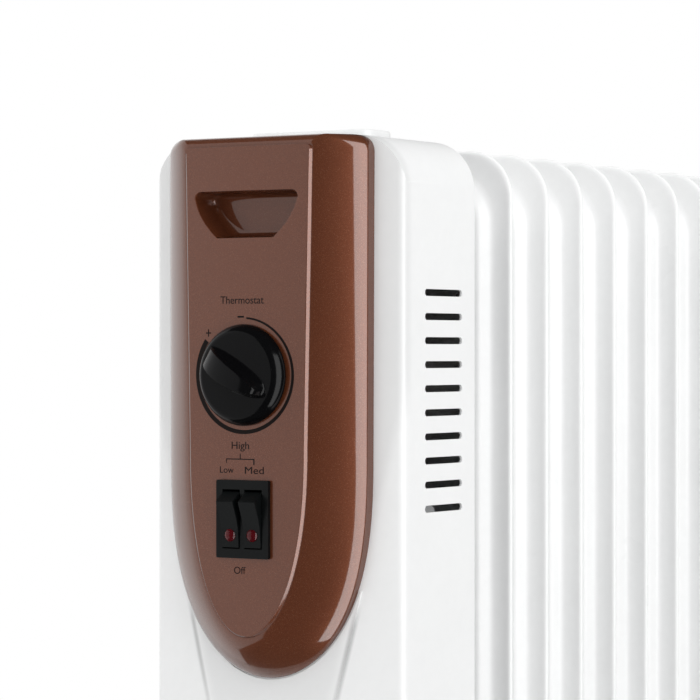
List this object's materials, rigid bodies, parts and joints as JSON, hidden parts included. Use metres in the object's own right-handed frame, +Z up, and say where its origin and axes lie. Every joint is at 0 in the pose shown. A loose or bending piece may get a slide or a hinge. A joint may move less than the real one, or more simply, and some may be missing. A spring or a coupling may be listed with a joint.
{
  "type": "oil filled radiator heater",
  "caption": "Oil filled radiator heater: a row of white steel fins on castors, with a white housing, a copper-brown control panel, a thermostat knob and a double rocker switch.",
  "frame": {"origin": "on the floor, below the middle of the whole length and width", "axes": "+Z up, the control panel faces -Y, the fins follow one another along +Y, +X is to the right as one faces the panel"},
  "size_m": [0.235, 0.515, 0.6376],
  "materials": {
    "radiator_enamel": "gloss white stoved enamel on pressed steel",
    "housing_enamel": "satin white powder coat on sheet steel",
    "galvanised_sheet": "galvanised sheet, dull",
    "zinc_plated_steel": "bright zinc plate",
    "element_sheath": "oil-darkened steel tube",
    "copper_panel": "gloss copper-brown metallic lacquer on plastic",
    "panel_inlay": "satin copper-brown metallic lacquer, fine flake",
    "black_gloss": "gloss black moulding",
    "black_moulding": "satin black moulding",
    "red_lens": "clear red moulded lens",
    "lamp_glass": "clear glass bulb",
    "brass_parts": "plain brass",
    "ivory_insulator": "ivory heat-proof moulding",
    "wire_insulation": "silicone wire sleeves",
    "castor_moulding": "satin black nylon",
    "castor_wheel": "satin black nylon with a worn tread"
  },
  "bodies": {
    "root": {"fin_01": "radiator_enamel", "fin_02": "radiator_enamel", "fin_03": "radiator_enamel", "fin_04": "radiator_enamel", "fin_05": "radiator_enamel", "fin_06": "radiator_enamel", "fin_07": "radiator_enamel", "fin_08": "radiator_enamel", "fin_09": "radiator_enamel", "fin_10": "radiator_enamel", "fin_11": "radiator_enamel", "heating_element_low": "element_sheath", "heating_element_med": "element_sheath", "element_flange": "galvanised_sheet", "element_terminals": "brass_parts", "oil_fill_plug": "zinc_plated_steel", "back_plate": "galvanised_sheet", "back_plate_spacers": "galvanised_sheet", "housing_cover": "housing_enamel", "housing_bottom": "housing_enamel", "top_cap": "housing_enamel", "cover_screws": "zinc_plated_steel", "control_panel": "copper_panel", "panel_inlay": "panel_inlay", "thermostat_bush": "brass_parts", "thermostat_nut": "zinc_plated_steel", "thermostat_body": "ivory_insulator", "bimetal_strip": "brass_parts", "switch_frame": "black_moulding", "neon_lamps": "lamp_glass", "switch_terminals": "brass_parts", "tilt_switch_frame": "ivory_insulator", "thermal_cutout": "ivory_insulator", "terminal_block": "ivory_insulator", "cord_gland": "black_moulding", "internal_wires": "wire_insulation", "foot_front": "radiator_enamel", "foot_rear": "radiator_enamel", "u_bolts": "zinc_plated_steel", "wing_nuts": "zinc_plated_steel"},
    "knob": {"thermostat_knob": "black_gloss", "thermostat_shaft": "zinc_plated_steel"},
    "rocker_left": {"rocker_left": "black_moulding", "lamp_lens_left": "red_lens"},
    "rocker_right": {"rocker_right": "black_moulding", "lamp_lens_right": "red_lens"},
    "tilt_pendulum": {"tilt_pendulum": "zinc_plated_steel"},
    "castor_fl": {"castor_fl_fork": "castor_moulding"},
    "castor_fr": {"castor_fr_fork": "castor_moulding"},
    "castor_rl": {"castor_rl_fork": "castor_moulding"},
    "castor_rr": {"castor_rr_fork": "castor_moulding"},
    "castor_wheels_fl": {"castor_fl_axle": "zinc_plated_steel", "castor_fl_wheels": "castor_wheel"},
    "castor_wheels_fr": {"castor_fr_axle": "zinc_plated_steel", "castor_fr_wheels": "castor_wheel"},
    "castor_wheels_rl": {"castor_rl_axle": "zinc_plated_steel", "castor_rl_wheels": "castor_wheel"},
    "castor_wheels_rr": {"castor_rr_axle": "zinc_plated_steel", "castor_rr_wheels": "castor_wheel"}
  },
  "joints": [
    {"name": "knob_turn", "type": "hinge", "parent": "root", "child": "knob", "pos_m": [0, -0.2415, 0.523], "axis": [0, 1, 0], "range_deg": [-117, 187]},
    {"name": "rocker_left_press", "type": "hinge", "parent": "root", "child": "rocker_left", "pos_m": [-0.006, -0.2388, 0.4574], "axis": [-1, 0, 0], "range_deg": [0, 20]},
    {"name": "rocker_right_press", "type": "hinge", "parent": "root", "child": "rocker_right", "pos_m": [0.006, -0.2388, 0.4574], "axis": [-1, 0, 0], "range_deg": [0, 20]},
    {"name": "tilt_pendulum_swing", "type": "hinge", "parent": "root", "child": "tilt_pendulum", "pos_m": [-0.032, -0.1885, 0.098], "axis": [1, 0, 0], "range_deg": [-15, 15]},
    {"name": "castor_fl_swivel", "type": "hinge", "parent": "root", "child": "castor_fl", "pos_m": [-0.1, -0.0985, 0.05], "axis": [0, 0, 1], "continuous": true},
    {"name": "castor_fl_roll", "type": "hinge", "parent": "castor_fl", "child": "castor_wheels_fl", "pos_m": [-0.1, -0.1125, 0.02], "axis": [1, 0, 0], "continuous": true},
    {"name": "castor_fr_swivel", "type": "hinge", "parent": "root", "child": "castor_fr", "pos_m": [0.1, -0.0985, 0.05], "axis": [0, 0, 1], "continuous": true},
    {"name": "castor_fr_roll", "type": "hinge", "parent": "castor_fr", "child": "castor_wheels_fr", "pos_m": [0.1, -0.1125, 0.02], "axis": [1, 0, 0], "continuous": true},
    {"name": "castor_rl_swivel", "type": "hinge", "parent": "root", "child": "castor_rl", "pos_m": [-0.1, 0.2255, 0.05], "axis": [0, 0, 1], "continuous": true},
    {"name": "castor_rl_roll", "type": "hinge", "parent": "castor_rl", "child": "castor_wheels_rl", "pos_m": [-0.1, 0.2115, 0.02], "axis": [1, 0, 0], "continuous": true},
    {"name": "castor_rr_swivel", "type": "hinge", "parent": "root", "child": "castor_rr", "pos_m": [0.1, 0.2255, 0.05], "axis": [0, 0, 1], "continuous": true},
    {"name": "castor_rr_roll", "type": "hinge", "parent": "castor_rr", "child": "castor_wheels_rr", "pos_m": [0.1, 0.2115, 0.02], "axis": [1, 0, 0], "continuous": true}
  ]
}
